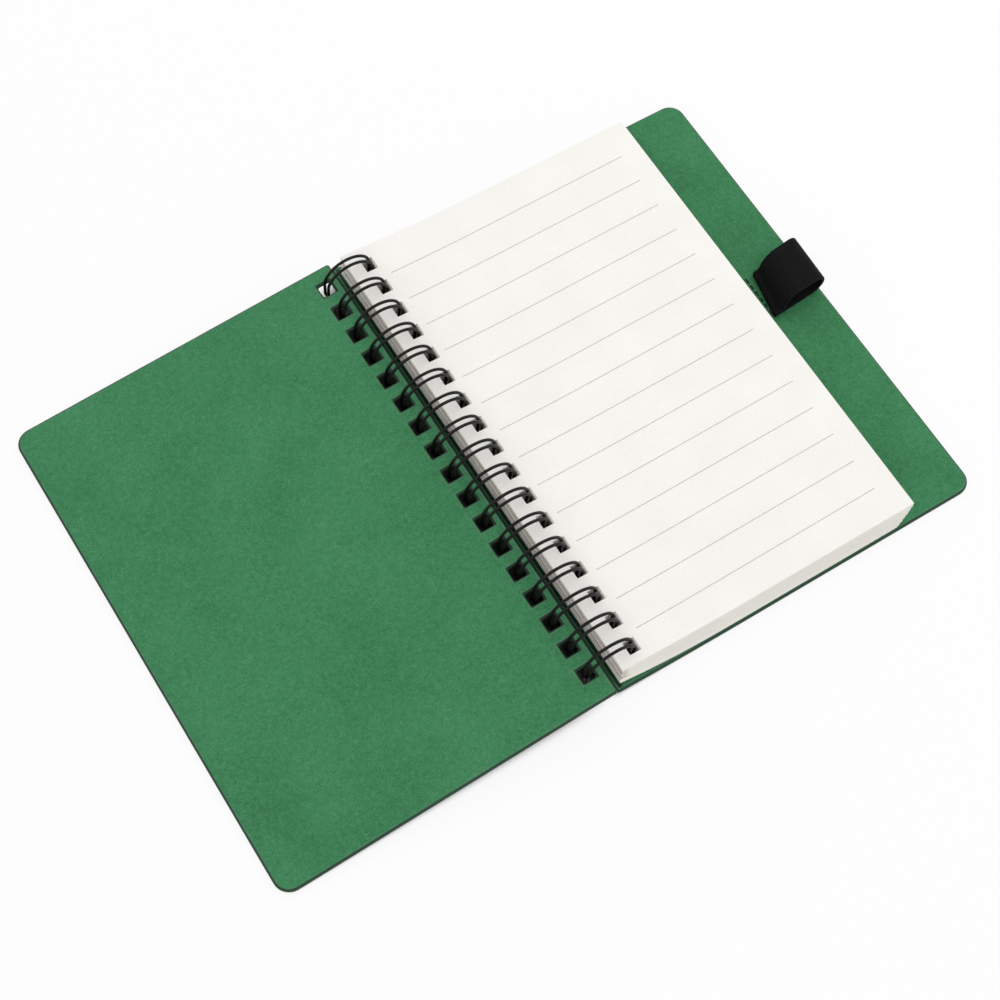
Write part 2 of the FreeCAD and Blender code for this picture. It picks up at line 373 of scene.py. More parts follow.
# ---- finishes ----------------------------------------------------------------------
@dataclass(frozen=True)
class BoardFinish:
    """Dyed pulp board: mottled, with pale and dark fibres pressed into its face.

    Beside the binding a strip of the upper face is darkened with painted shade.
    """

    name: str = "board_face"
    dyed: Colour = (56, 127, 81)
    deep: Colour = (44, 111, 67)
    faded: Colour = (71, 141, 95)
    pale_fibre: Colour = (112, 164, 130)
    dark_fibre: Colour = (40, 88, 58)
    painted_binding_shade: Colour = (18, 40, 26)
    painted_binding_shade_from: float = -11.4 * MM
    painted_binding_shade_to: float = -8.8 * MM
    painted_binding_shade_share: float = 0.8
    cloud: float = 22.0 * MM
    flock: float = 1.5 * MM
    speck: float = 0.42 * MM
    fibre: tuple[float, float, float] = (1.6 * MM, 0.13 * MM, 1.6 * MM)
    fibre_share: float = 0.3
    pale_turns: tuple[float, ...] = (20.0, 84.0, 146.0)
    dark_turns: tuple[float, ...] = (53.0, 117.0, 171.0)
    bend: float = 3.0 * MM
    bend_reach: float = 0.9 * MM
    relief: float = 0.09 * MM

    def material(self) -> bpy.types.Material:
        """Mix the face of the board.

        Returns:
            The finished material.
        """
        mix = Recipe(bpy.data.materials.new(self.name))
        place = mix.place()
        clouds = mix.noise(place, self.cloud, 2.0)
        flock = mix.noise(place, self.flock, 3.0, 0.6)
        speck = mix.noise(place, self.speck, 2.0, 0.6)
        mottle = clouds * 0.25 + flock * 0.35 + speck * 0.4
        colour = mix.blend(mottle.ramp(0.36, 0.50), self.deep, self.dyed)
        colour = mix.blend(mottle.ramp(0.50, 0.68), colour, self.faded)
        bent = mix.stirred(place, self.bend, self.bend_reach)
        pale = self.strokes(mix, bent, self.pale_turns).ramp(0.665, 0.74)
        dark = self.strokes(mix, bent, self.dark_turns).ramp(0.68, 0.76)
        colour = mix.blend(pale * self.fibre_share, colour, self.pale_fibre)
        colour = mix.blend(dark * self.fibre_share, colour, self.dark_fibre)
        x, _, _ = mix.axes(place)
        # painted shade: a dark strip on the upper face beside the binding, where the cover lies in
        # shadow
        spine = (x > self.painted_binding_shade_from) * (x < self.painted_binding_shade_to) * (mix.rise() > 0.5)
        colour = mix.blend(spine * self.painted_binding_shade_share, colour, self.painted_binding_shade)
        height = speck * 0.6 + flock * 0.7 + pale * 0.25
        rough = 0.86 + (flock - 0.5) * 0.12
        return mix.surface(
            Base_Color=colour, Roughness=rough, Specular_IOR_Level=0.3,
            Normal=mix.bump(height, self.relief, 0.7),
        )

    def strokes(self, mix: Recipe, place: Socket, turns: tuple[float, ...]) -> Signal:
        """Draw thin strokes that lie in several directions.

        Args:
            mix: The recipe to add to.
            place: Where the surface is.
            turns: The directions of the strokes, in degrees.

        Returns:
            A signal that is highest on a stroke.
        """
        found = [mix.noise(mix.turned(place, turn, self.fibre), 1.0, 0.0) for turn in turns]
        highest = found[0]
        for stroke in found[1:]:
            highest = highest.larger(stroke)
        return highest


@dataclass(frozen=True)
class BoardEdgeFinish:
    """The board where it is cut: pressed layers of pulp, darker than the face."""

    name: str = "board_cut_edge"
    core: Colour = (48, 76, 59)
    pale: Colour = (74, 102, 84)
    dark: Colour = (30, 50, 39)
    layer: tuple[float, float, float] = (3.5 * MM, 3.5 * MM, 0.33 * MM)
    crumb: float = 0.5 * MM
    relief: float = 0.12 * MM

    def material(self) -> bpy.types.Material:
        """Mix the cut edge of the board.

        Returns:
            The finished material.
        """
        mix = Recipe(bpy.data.materials.new(self.name))
        place = mix.place()
        layers = mix.noise(mix.turned(place, 0.0, self.layer), 1.0, 2.0, 0.6)
        crumbs = mix.noise(place, self.crumb, 3.0, 0.65)
        tone = layers * 0.6 + crumbs * 0.4
        colour = mix.blend(tone.ramp(0.36, 0.52), self.dark, self.core)
        colour = mix.blend(tone.ramp(0.52, 0.72), colour, self.pale)
        return mix.surface(
            Base_Color=colour, Roughness=0.92, Specular_IOR_Level=0.2,
            Normal=mix.bump(layers * 0.7 + crumbs * 0.6, self.relief, 0.8),
        )


@dataclass(frozen=True)
class RoundedEdgeFinish:
    """The board's pressed edge: rubbed pale where it starts to fall, dark where it is cut."""

    name: str = "board_rounded_edge"
    rubbed: Colour = (96, 140, 110)
    dyed: Colour = (72, 124, 90)
    cut: Colour = (48, 74, 58)
    fallen: tuple[float, float] = (0.90, 0.985)
    scuff: float = 6.0 * MM
    chafe: float = 0.8 * MM
    nap: float = 0.4 * MM
    relief: float = 0.06 * MM

    def material(self) -> bpy.types.Material:
        """Mix the rounded edge of the board.

        Returns:
            The finished material.
        """
        mix = Recipe(bpy.data.materials.new(self.name))
        place = mix.place()
        scuffs = mix.noise(place, self.scuff, 3.0, 0.6)
        wear = scuffs * 0.6 + mix.noise(place, self.chafe, 2.0) * 0.4
        top = mix.blend(wear.ramp(0.40, 0.62), self.dyed, self.rubbed)
        fallen = 1.0 - abs(mix.rise()).ramp(*self.fallen)
        return mix.surface(
            Base_Color=mix.blend(fallen, top, self.cut), Roughness=0.88, Specular_IOR_Level=0.2,
            Normal=mix.bump(mix.noise(place, self.nap, 2.0), self.relief, 0.6),
        )


@dataclass(frozen=True)
class PaperFinish:
    """Uncoated writing paper, a little warm, with faint fibres."""

    name: str = "page_face"
    sheet: Colour = (250, 248, 243)
    shade: Colour = (246, 243, 238)
    cloud: float = 14.0 * MM
    fleck: float = 0.7 * MM
    relief: float = 0.03 * MM

    def pulp(self, mix: Recipe, place: Socket) -> tuple[Socket, Signal]:
        """Mix the bare sheet.

        Args:
            mix: The recipe to add to.
            place: Where the surface is.

        Returns:
            The sheet's colour and the height of its fibres.
        """
        cloud = mix.noise(place, self.cloud, 2.0)
        fleck = mix.noise(place, self.fleck, 3.0, 0.6)
        tone = cloud * 0.5 + fleck * 0.5
        return mix.blend(tone.ramp(0.38, 0.62), self.shade, self.sheet), fleck

    def material(self) -> bpy.types.Material:
        """Mix a sheet with nothing printed on it.

        Returns:
            The finished material.
        """
        mix = Recipe(bpy.data.materials.new(self.name))
        colour, fleck = self.pulp(mix, mix.place())
        return mix.surface(
            Base_Color=colour, Roughness=0.9, Specular_IOR_Level=0.25,
            Normal=mix.bump(fleck, self.relief, 0.5),
        )


@dataclass(frozen=True)
class RuledPaperFinish(PaperFinish):
    """The same paper with evenly spaced writing lines, printed in a light grey."""

    name: str = "page_ruled_face"
    ink: Colour = (190, 190, 188)
    lines: int = 14
    pitch: float = 9.73 * MM
    first_line: float = 62.16 * MM
    tilt: float = 0.009
    start: float = 1.0 * MM
    end: float = 81.0 * MM
    width: float = 0.3 * MM
    print_grain: float = 0.35 * MM

    def material(self) -> bpy.types.Material:
        """Mix a sheet with its writing lines.

        Returns:
            The finished material.
        """
        mix = Recipe(bpy.data.materials.new(self.name))
        place = mix.place()
        colour, fleck = self.pulp(mix, place)
        x, y, _ = mix.axes(place)
        row = (x * self.tilt - y + self.first_line) / self.pitch + 0.5
        off_line = abs(row.fraction() - 0.5) * self.pitch
        printed = 1.0 - off_line.ramp(self.width * 0.35, self.width * 0.65)
        across = (x > self.start) * (x < self.end)
        down = (row > 0.0) * (row < float(self.lines))
        grain = mix.noise(place, self.print_grain, 1.0).ramp(0.30, 0.52)
        ink = printed * across * down * (0.45 + grain * 0.5)
        return mix.surface(
            Base_Color=mix.blend(ink, colour, self.ink), Roughness=0.9,
            Specular_IOR_Level=0.25, Normal=mix.bump(fleck, self.relief, 0.5),
        )


@dataclass(frozen=True)
class PaperEdgeFinish:
    """The cut edges of the sheets, pale, with painted shade on the edges of sheets that lie back, mostly
    at the binding.
    """

    name: str = "page_edges"
    pale: Colour = (252, 249, 242)
    painted_edge_shade_tone: Colour = (176, 166, 146)
    open_share: float = 0.12
    spine: float = -9.6 * MM
    reach: float = 1.6 * MM
    uneven_edge_shade: float = 5.0 * MM
    attribute: str = "painted_edge_shade"

    def material(self) -> bpy.types.Material:
        """Mix the edges of the sheets.

        Returns:
            The finished material.
        """
        mix = Recipe(bpy.data.materials.new(self.name))
        place = mix.place()
        painted_edge_shade = mix.attribute(self.attribute)
        uneven_edge_shade = mix.noise(place, self.uneven_edge_shade, 2.0)
        x, _, _ = mix.axes(place)
        open_side = x.ramp(self.spine + self.reach, self.spine + 2.0 * self.reach)
        # painted shade: edges of recessed sheets darker, strongest on the spine face and faint elsewhere
        share = (painted_edge_shade + (uneven_edge_shade - 0.5) * 0.35).ramp(0.0, 1.0)
        share = share * (1.0 - open_side * (1.0 - self.open_share))
        return mix.surface(
            Base_Color=mix.blend(share, self.pale, self.painted_edge_shade_tone),
            Roughness=0.92, Specular_IOR_Level=0.2,
        )


@dataclass(frozen=True)
class CoatedWireFinish:
    """Steel wire under a satin black coat, with the coat's slight ripple."""

    name: str = "coated_wire"
    coat: Colour = (13, 12, 11)
    rubbed: Colour = (27, 24, 21)
    ripple: float = 0.5 * MM
    rub: float = 3.5 * MM
    relief: float = 0.02 * MM

    def material(self) -> bpy.types.Material:
        """Mix the coat of the wire.

        Returns:
            The finished material.
        """
        mix = Recipe(bpy.data.materials.new(self.name))
        place = mix.place()
        ripple = mix.noise(place, self.ripple, 2.0)
        rub = mix.noise(place, self.rub, 3.0, 0.6)
        return mix.surface(
            Base_Color=mix.blend(rub.ramp(0.52, 0.70), self.coat, self.rubbed),
            Roughness=0.36 + (ripple - 0.5) * 0.2, Specular_IOR_Level=0.22,
            Normal=mix.bump(ripple, self.relief, 0.5),
        )


@dataclass(frozen=True)
class ElasticFinish:
    """Black woven elastic: rubber cords run along the tape under a close plain weave, with painted shade
    in its hollows and painted highlights on its tops.
    """

    name: str = "woven_elastic"
    yarn: Colour = (22, 22, 25)
    painted_weave_highlight: Colour = (40, 40, 44)
    # gap is painted shade in the hollows of the weave
    gap: Colour = (6, 6, 7)
    lint: Colour = (64, 66, 66)
    sheen: Colour = (150, 150, 155)
    along: str = "run"
    across: str = "span"
    pick: float = 0.62 * MM
    cord: float = 0.8 * MM
    fuzz: float = 0.25 * MM
    strand: tuple[float, float, float] = (1.6 * MM, 0.12 * MM, 1.6 * MM)
    strand_turn: float = 35.0
    relief: float = 0.14 * MM

    def material(self) -> bpy.types.Material:
        """Mix the woven tape.

        Returns:
            The finished material.
        """
        mix = Recipe(bpy.data.materials.new(self.name))
        run = mix.attribute(self.along)
        span = mix.attribute(self.across)
        warp = (span * (math.tau / self.cord)).sine()
        weft = (run * (math.tau / self.pick)).sine()
        check = warp * weft
        rib = abs((span * (math.pi / self.cord)).sine())
        place = mix.place()
        fuzz = mix.noise(place, self.fuzz, 3.0, 0.7)
        height = check * 0.4 + rib * 0.15 + fuzz * 0.35
        raised = (check * 0.35 + rib * 0.12 + fuzz * 0.9).ramp(0.30, 0.95)
        # painted shade in the weave's hollows and a painted highlight on the tops of the yarns
        colour = mix.blend(raised, self.gap, self.yarn)
        colour = mix.blend(raised.ramp(0.62, 1.0) * 0.6, colour, self.painted_weave_highlight)
        strand = mix.noise(mix.turned(place, self.strand_turn, self.strand), 1.0, 0.0)
        colour = mix.blend(strand.ramp(0.74, 0.80) * 0.3, colour, self.lint)
        return mix.surface(
            Base_Color=colour, Roughness=0.85, Specular_IOR_Level=0.12,
            Sheen_Weight=0.08, Sheen_Roughness=0.4, Sheen_Tint=linear(self.sheen),
            Normal=mix.bump(height, self.relief, 0.9),
        )


@dataclass(frozen=True)
class ThreadFinish:
    """Twisted thread, dark, with the twist showing as slanted ridges and painted shade in the grooves
    between them.
    """

    name: str = "sewing_thread"
    ply: Colour = (22, 34, 28)
    painted_groove_shade: Colour = (8, 12, 10)
    twist: float = 0.45 * MM
    relief: float = 0.06 * MM

    def material(self) -> bpy.types.Material:
        """Mix the thread.

        Returns:
            The finished material.
        """
        mix = Recipe(bpy.data.materials.new(self.name))
        x, y, z = mix.axes(mix.place())
        twist = ((y + x * 0.8 + z * 0.8) * (math.tau / self.twist)).sine() * 0.5 + 0.5
        return mix.surface(
            # painted shade in the grooves of the twist
            Base_Color=mix.blend(twist, self.painted_groove_shade, self.ply),
            Roughness=0.6, Specular_IOR_Level=0.3, Normal=mix.bump(twist, self.relief, 0.8),
        )


@dataclass(frozen=True)
class TornFibreFinish:
    """Undyed fibres pulled up out of the board by the needle."""

    name: str = "torn_fibre"
    pale: Colour = (176, 204, 186)
    dyed: Colour = (96, 142, 112)
    patch: float = 0.6 * MM

    def material(self) -> bpy.types.Material:
        """Mix the torn fibres.

        Returns:
            The finished material.
        """
        mix = Recipe(bpy.data.materials.new(self.name))
        tone = mix.noise(mix.place(), self.patch, 2.0)
        return mix.surface(
            Base_Color=mix.blend(tone.ramp(0.4, 0.6), self.dyed, self.pale),
            Roughness=0.9, Specular_IOR_Level=0.2,
        )


@dataclass(frozen=True)
class TableFinish:
    """A white table top, white to the eye where it lies open, with painted shade under the pad.

    How open a spot lies is measured by how much the pad shelters it within reach.
    """

    name: str = "white_table"
    white: Colour = (247, 247, 247)
    painted_shade_under_pad: Colour = (56, 58, 56)
    glow: float = 0.88
    reach: float = 60.0 * MM
    tries: int = 16
    sheltered: tuple[float, float] = (0.33, 0.48)

    def material(self) -> bpy.types.Material:
        """Mix the table top.

        Returns:
            The finished material.
        """
        mix = Recipe(bpy.data.materials.new(self.name))
        shelter = mix.node("AmbientOcclusion", {"samples": self.tries}, {"Distance": self.reach})
        clear = Signal(mix, shelter.outputs["AO"]).ramp(*self.sheltered)
        # painted shade: the table's colour darkens where the pad shelters it
        tone = mix.blend(clear, self.painted_shade_under_pad, self.white)
        matt = {"Base Color": tone, "Roughness": 1.0, "Specular IOR Level": 0.0}
        top = mix.node("BsdfPrincipled", inputs=matt)
        lit = mix.node("Emission", inputs={"Color": WHITE, "Strength": 1.0})
        share = mix.looked_at() * clear * self.glow
        both = mix.node("MixShader", inputs={0: share, 1: top.outputs[0], 2: lit.outputs[0]})
        return mix.close("OutputMaterial", both)


# ---- the bench ---------------------------------------------------------------------
class Blank:
    """A mesh on the bench, with the tools that shape it.

    A tool works on what was picked last. The edit tools are used inside editing().
    """

    def __init__(self, thing: bpy.types.Object) -> None:
        """Take an object onto the bench."""
        self.thing = thing

    @staticmethod
    def clear_bench() -> None:
        """Let go of everything that is picked."""
        bpy.ops.object.select_all(action="DESELECT")

    def hold(self) -> None:
        """Take hold of this piece alone."""
        self.clear_bench()
        self.thing.select_set(True)
        bpy.context.view_layer.objects.active = self.thing

    def call(self, name: str) -> "Blank":
        """Name the piece and its mesh.

        Args:
            name: The name of both.

        Returns:
            The piece itself.
        """
        self.thing.name = name
        self.thing.data.name = name
        return self

    @classmethod
    def flat(
        cls, name: str, size: tuple[float, float], centre: Vector, squares: tuple[int, int] = (1, 1)
    ) -> "Blank":
        """Add a flat rectangle.

        Args:
            name: The piece's name.
            size: Its length along X and along Y.
            centre: Its middle.
            squares: How many squares it is divided into each way.

        Returns:
            The rectangle, at its size and place.
        """
        cls.clear_bench()
        bpy.ops.mesh.primitive_grid_add(
            x_subdivisions=squares[0], y_subdivisions=squares[1], size=1.0, location=centre
        )
        blank = cls(bpy.context.object).call(name)
        blank.thing.scale = (size[0], size[1], 1.0)
        bpy.ops.object.transform_apply(location=True, rotation=True, scale=True)
        return blank

    @classmethod
    def ring(cls, name: str, radius: float, centre: Vector, facing: Vector, sides: int) -> "Blank":
        """Add an open ring of edges, the section of a wire or thread.

        Args:
            name: The piece's name.
            radius: The ring's radius.
            centre: Its middle.
            facing: The direction that it faces.
            sides: How many edges it has.

        Returns:
            The ring.
        """
        cls.clear_bench()
        turn = UP.rotation_difference(facing).to_euler()
        bpy.ops.mesh.primitive_circle_add(
            vertices=sides, radius=radius, fill_type="NOTHING", location=centre, rotation=turn
        )
        blank = cls(bpy.context.object).call(name)
        bpy.ops.object.transform_apply(location=True, rotation=True, scale=True)
        return blank

    @contextmanager
    def editing(self) -> Iterator[None]:
        """Open the mesh for the edit tools, and close it again.

        Yields:
            Nothing. The mesh is open inside the with block.
        """
        self.hold()
        bpy.ops.object.mode_set(mode="EDIT")
        yield
        bpy.ops.object.mode_set(mode="OBJECT")

    def pick(self, what: Pick, test: Test) -> None:
        """Pick the corners, edges or faces that pass a test.

        Args:
            what: Corners, edges or faces.
            test: Takes the middle and the direction, which is a face's or corner's normal
                or the way an edge runs.
        """
        bpy.ops.mesh.select_mode(type=what.value)
        bpy.ops.mesh.select_all(action="DESELECT")
        mesh = bmesh.from_edit_mesh(self.thing.data)
        if what is Pick.CORNERS:
            found = [v for v in mesh.verts if test(v.co, v.normal)]
        elif what is Pick.FACES:
            found = [f for f in mesh.faces if test(f.calc_center_median(), f.normal)]
        else:
            runs = [(e, e.verts[0].co, e.verts[1].co) for e in mesh.edges]
            found = [e for e, a, b in runs if test((a + b) / 2.0, (b - a).normalized())]
        for element in found:
            element.select_set(True)
        mesh.select_flush_mode()
        bmesh.update_edit_mesh(self.thing.data)

    def pick_all(self) -> None:
        """Pick the whole mesh."""
        bpy.ops.mesh.select_all(action="SELECT")

    def slice(self, point: Vector, facing: Vector) -> None:
        """Cut what is picked along a plane."""
        bpy.ops.mesh.bisect(plane_co=point, plane_no=facing, threshold=1e-7)

    def cut_out(self) -> None:
        """Take away the picked faces."""
        bpy.ops.mesh.delete(type="FACE")

    def stretch(self, step: Vector) -> None:
        """Draw what is picked out in a straight line."""
        bpy.ops.mesh.extrude_region_move(TRANSFORM_OT_translate={"value": step})

    def sweep(self, centre: Vector, axis: Vector, degrees: float, steps: int) -> None:
        """Draw what is picked round an axis.

        Args:
            centre: A point of the axis.
            axis: Its direction.
            degrees: How far round. The spin tool counts its angle the other way.
            steps: In how many steps.
        """
        bpy.ops.mesh.spin(
            steps=steps, angle=-math.radians(degrees), center=centre, axis=axis, use_auto_merge=False
        )

    def tag(self, name: str, value: float) -> None:
        """Write a number on the picked corners.

        Args:
            name: What the number is called.
            value: The number.
        """
        mesh = bmesh.from_edit_mesh(self.thing.data)
        layer = mesh.verts.layers.float.get(name) or mesh.verts.layers.float.new(name)
        for corner in mesh.verts:
            if corner.select:
                corner[layer] = value
        bmesh.update_edit_mesh(self.thing.data)

    def close_up(self) -> None:
        """Join corners that touch, and turn every face outwards."""
        with self.editing():
            self.pick_all()
            bpy.ops.mesh.remove_doubles(threshold=TOUCH)
            bpy.ops.mesh.normals_make_consistent(inside=False)

    def finish_with(self, kind: str, **settings: object) -> None:
        """Add a modifier and apply it.

        Args:
            kind: Its type.
            settings: Its settings.
        """
        modifier = self.thing.modifiers.new(kind.title(), kind)
        for key, value in settings.items():
            setattr(modifier, key, value)
        self.hold()
        bpy.ops.object.modifier_apply(modifier=modifier.name)

    def lay(self, rule: Rule) -> None:
        """Bend the piece.

        Args:
            rule: Says where each corner goes.
        """
        for corner in self.thing.data.vertices:
            corner.co = rule(corner.co)
        self.thing.data.update()

    def turn(self, degrees: float, axis: Vector, place: Vector) -> None:
        """Turn the piece and move it to its place.

        Args:
            degrees: How far it turns.
            axis: The axis, through the origin.
            place: How far it is moved after that.
        """
        self.thing.data.transform(
            Matrix.Translation(place) @ Matrix.Rotation(math.radians(degrees), 4, axis)
        )
        self.thing.data.update()

    def copy(self, name: str) -> "Blank":
        """Make a copy with its own mesh.

        Args:
            name: The copy's name.

        Returns:
            The copy.
        """
        twin = self.thing.copy()
        twin.data = self.thing.data.copy()
        bpy.context.scene.collection.objects.link(twin)
        return Blank(twin).call(name)

    def join(self, others: list["Blank"]) -> None:
        """Make the other pieces part of this one.

        Args:
            others: The pieces, which are used up.
        """
        self.hold()
        for other in others:
            other.thing.select_set(True)
        bpy.ops.object.join()

    def smooth(self, degrees: float) -> None:
        """Shade as smooth where the faces meet at less than an angle."""
        self.hold()
        bpy.ops.object.shade_smooth_by_angle(angle=math.radians(degrees))

    def dress(self, *finishes: bpy.types.Material) -> None:
        """Give the piece its finishes.

        Args:
            finishes: The materials. The first of them covers the whole piece.
        """
        self.thing.data.materials.clear()
        for finish in finishes:
            self.thing.data.materials.append(finish)

    def paint(self, finish: int) -> None:
        """Give the picked faces another of the piece's finishes."""
        self.thing.active_material_index = finish
        bpy.ops.object.material_slot_assign()

    def hand_over(self, body: Body, slot: Slot, *nodes: Node) -> None:
        """Tell the frame about the piece.

        Args:
            body: What it moves with.
            slot: What it is made of. Not used.
            nodes: The solids that it stands for.
        """
        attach(self.thing, body.value)
        if nodes:
            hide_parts(*[node.value for node in nodes])
        self.thing.data.calc_loop_triangles()
        log.info(
            "%s: %d triangles, moves with %s",
            self.thing.name, len(self.thing.data.loop_triangles), body.value,
        )


# ---- what the pieces share ---------------------------------------------------------
@dataclass(frozen=True)
class Punching:
    """The row of square holes that the wire passes through."""

    setback: float = 6.2 * MM
    loops: int = 17
    pitch: float = 25.4 / 3.0 * MM
    side: float = 4.0 * MM

    def rows(self) -> list[float]:
        """Return the height up the page of each hole, top one first."""
        first = self.pitch * (self.loops - 1) / 2.0
        return [first - self.pitch * i for i in range(self.loops)]

    def punch(self, blank: Blank, middle: float) -> None:
        """Cut the holes out of a flat blank.

        Args:
            blank: A flat rectangle, open for the edit tools.
            middle: The middle of the holes along X.
        """
        half = self.side / 2.0
        sides = (middle - half, middle + half)
        rows = self.rows()
        for x in sides:
            blank.pick_all()
            blank.slice(Vector((x, 0.0, 0.0)), ACROSS)
        for row in rows:
            for y in (row - half, row + half):
                blank.pick(Pick.FACES, lambda at, _: sides[0] < at.x < sides[1])
                blank.slice(Vector((0.0, y, 0.0)), ALONG)

        def in_hole(at: Vector, _: Vector) -> bool:
            """Tell whether a face lies in one of the holes."""
            return sides[0] < at.x < sides[1] and any(abs(at.y - y) < half for y in rows)

        blank.pick(Pick.FACES, in_hole)
        blank.cut_out()


@dataclass(frozen=True)
class SpineLift:
    """How the binding holds the back cover and the pages off the table."""

    start: float
    rise: float
    end: float = 35.3 * MM

    def height(self, x: float) -> float:
        """Return how high the raised spine holds a sheet at x."""
        return self.rise * (max(self.end - x, 0.0) / (self.end - self.start)) ** 2

    def columns(self, count: int) -> list[float]:
        """Return where along X a sheet is divided so that it can bend."""
        return [self.start + (self.end - self.start) * (i + 1) / count for i in range(count)]


# ---- covers ------------------------------------------------------------------------
@dataclass
class Cover:
    """A stiff board cover with a punched spine edge and two rounded outer corners."""

    name: str
    node: Node
    body: Body
    punching: Punching
    thickness: float = 2.0 * MM
    corner: float = 4.7 * MM
    corner_steps: int = 10
    rub: float = 0.8 * MM
    rub_steps: int = 5
    cut_angle: float = 50.0
    smooth_angle: float = 35.0

    def blank(
        self, spine: float, outer: float, ends: tuple[float, float], columns: list[float]
    ) -> Blank:
        """Make the flat board.

        Args:
            spine: Where its spine edge is along X.
            outer: Where its outer edge is along X.
            ends: Where its near and far edges are along Y.
            columns: Where it is divided so that it can bend.

        Returns:
            The board with its holes, corners and thickness, its middle at z = 0.
        """
        middle = Vector((spine + outer, ends[0] + ends[1], 0.0)) / 2.0
        board = Blank.flat(self.name, (abs(outer - spine), ends[1] - ends[0]), middle)
        inward = 1.0 if outer > spine else -1.0
        with board.editing():
            board.pick(Pick.CORNERS, lambda at, _: abs(at.x - outer) < TOUCH)
            bpy.ops.mesh.bevel(
                offset=self.corner, offset_type="OFFSET", segments=self.corner_steps,
                profile=0.5, affect="VERTICES",
            )
            for x in columns:
                board.pick_all()
                board.slice(Vector((x, 0.0, 0.0)), ACROSS)
            self.punching.punch(board, spine + inward * self.punching.setback)
        board.dress(
            BoardFinish().material(), RoundedEdgeFinish().material(), BoardEdgeFinish().material()
        )
        board.finish_with(
            "SOLIDIFY", thickness=self.thickness, offset=0.0, material_offset_rim=2
        )
        board.close_up()
        board.finish_with(
            "BEVEL", width=self.rub, segments=self.rub_steps, limit_method="ANGLE",
            angle_limit=math.radians(self.cut_angle), material=1,
        )
        board.smooth(self.smooth_angle)
        board.finish_with("WEIGHTED_NORMAL", keep_sharp=True)
        return board


@dataclass
class FrontCover(Cover):
    """The front cover, turned back to the left and leaning on the table."""

    name: str = "front_board"
    node: Node = Node.FRONT
    body: Body = Body.FRONT
    punching: Punching = field(default_factory=lambda: Punching(setback=4.4 * MM))
    width: float = 101.4 * MM

    def build(self) -> None:
        """Make the front cover and lean it from the binding down to the table."""
        low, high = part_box(self.node.value)
        size = high - low
        lean = math.atan2(
            self.width * size.z - self.thickness * size.x,
            self.width * size.x - self.thickness * size.z,
        )
        board = self.blank(self.width / 2.0, -self.width / 2.0, (low.y, high.y), [])
        middle = (low + high) / 2.0
        board.turn(-math.degrees(lean), ALONG, Vector((middle.x, 0.0, middle.z)))
        board.hand_over(self.body, Slot.BOARD, self.node)


@dataclass
class BackCover(Cover):
    """The back cover, flat on the table and rising to the binding."""

    name: str = "back_board"
    node: Node = Node.BACK
    body: Body = Body.BACK
    punching: Punching = field(default_factory=Punching)
    bends: int = 14
    hole_margin: float = 2.5 * MM

    def lift(self) -> SpineLift:
        """Return how the binding raises the cover's spine edge."""
        low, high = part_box(self.node.value)
        return SpineLift(low.x, high.z - self.thickness)

    def build(self) -> None:
        """Make the back cover and bend its spine edge up to the wire."""
        low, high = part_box(self.node.value)
        lift = self.lift()
        hole = low.x + self.punching.setback
        columns = [x for x in lift.columns(self.bends) if abs(x - hole) > self.hole_margin]
        board = self.blank(low.x, high.x, (low.y, high.y), columns)
        board.lay(lambda at: at + UP * (self.thickness / 2.0 + lift.height(at.x)))
        board.hand_over(self.body, Slot.BOARD, self.node)


# ---- pages -------------------------------------------------------------------------
@dataclass(frozen=True)
class Bundle:
    """Sheets that have slid together: how far they stand out and how much painted shade their edges get.
    """

    upto: float
    spine_step: float
    fore_step: float
    painted_edge_shade: float


